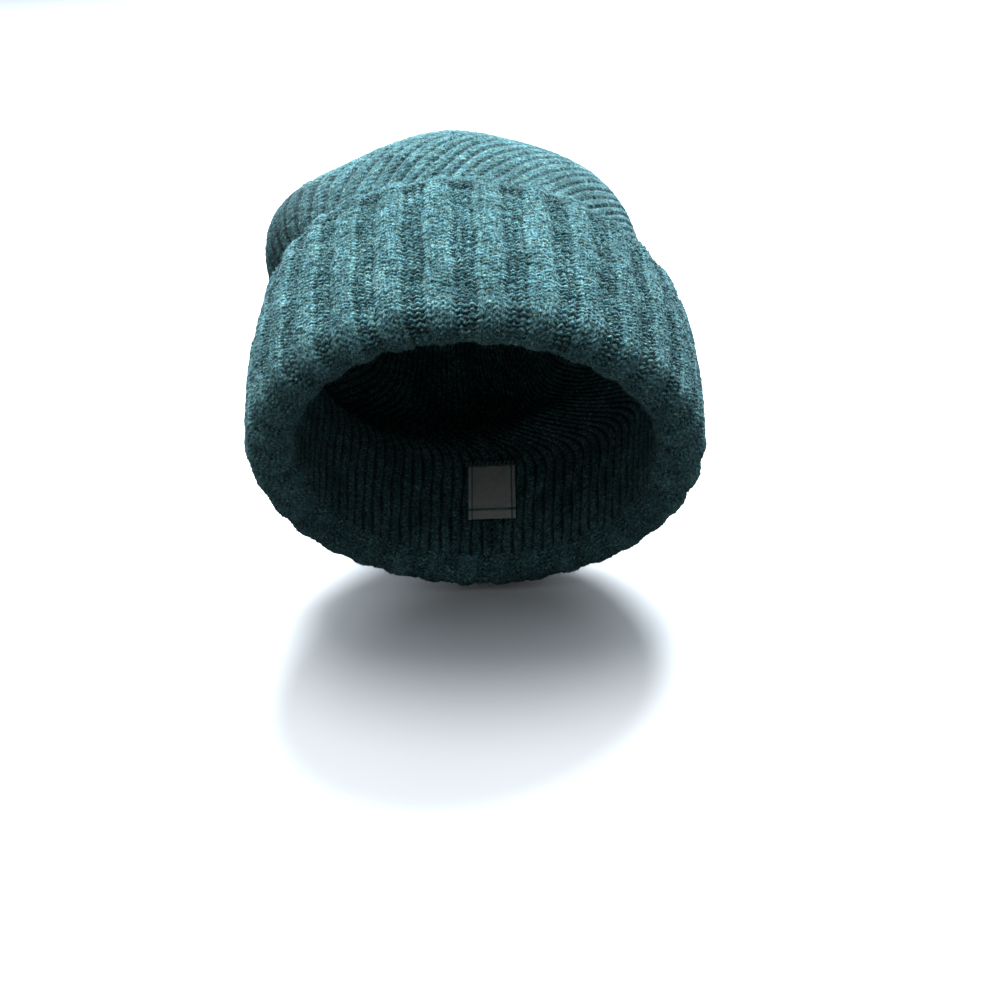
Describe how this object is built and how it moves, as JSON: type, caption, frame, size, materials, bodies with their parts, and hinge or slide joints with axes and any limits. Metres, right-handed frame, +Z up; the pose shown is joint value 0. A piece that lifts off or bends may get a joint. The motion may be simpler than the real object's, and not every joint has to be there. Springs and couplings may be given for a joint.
{
  "type": "knit beanie",
  "caption": "Slouchy ribbed knit beanie with a deep turned-up cuff and a gathered crown, shaped as worn on a head, with a lifting rear pouch and a loose care label.",
  "frame": {"origin": "centre of the head opening, in the plane of the fold at the bottom of the cuff", "axes": "+Z up as worn on an upright head, -Y toward the forehead, +X toward the wearer's left"},
  "size_m": [0.1986, 0.2456, 0.2258],
  "materials": {
    "rib_knit": "soft heathered wool rib, brushed halo",
    "edge_yarn": "soft wool cast-on chain",
    "seam_yarn": "matching wool yarn",
    "label_tape": "matt woven tape, blank",
    "label_thread": "polyester thread"
  },
  "bodies": {
    "hat": {"cuff_knit": "rib_knit", "fold_knit": "rib_knit", "cast_on_edge": "edge_yarn", "cuff_seam": "seam_yarn", "body_knit": "rib_knit", "body_seam": "seam_yarn", "label_stitches": "label_thread"},
    "pouch": {"pouch_knit": "rib_knit", "pouch_seam": "seam_yarn", "gather_yarn": "seam_yarn", "gather_knot": "seam_yarn"},
    "label": {"care_label": "label_tape"}
  },
  "joints": [
    {"name": "pouch_lift", "type": "hinge", "parent": "hat", "child": "pouch", "pos_m": [0, 0.1077, 0.1197], "axis": [1, 0, 0], "range_deg": [0, 20]},
    {"name": "label_flap", "type": "hinge", "parent": "hat", "child": "label", "pos_m": [0.001, 0.09929, -0.03613], "axis": [-1, 0, 0], "range_deg": [0, 100]}
  ]
}
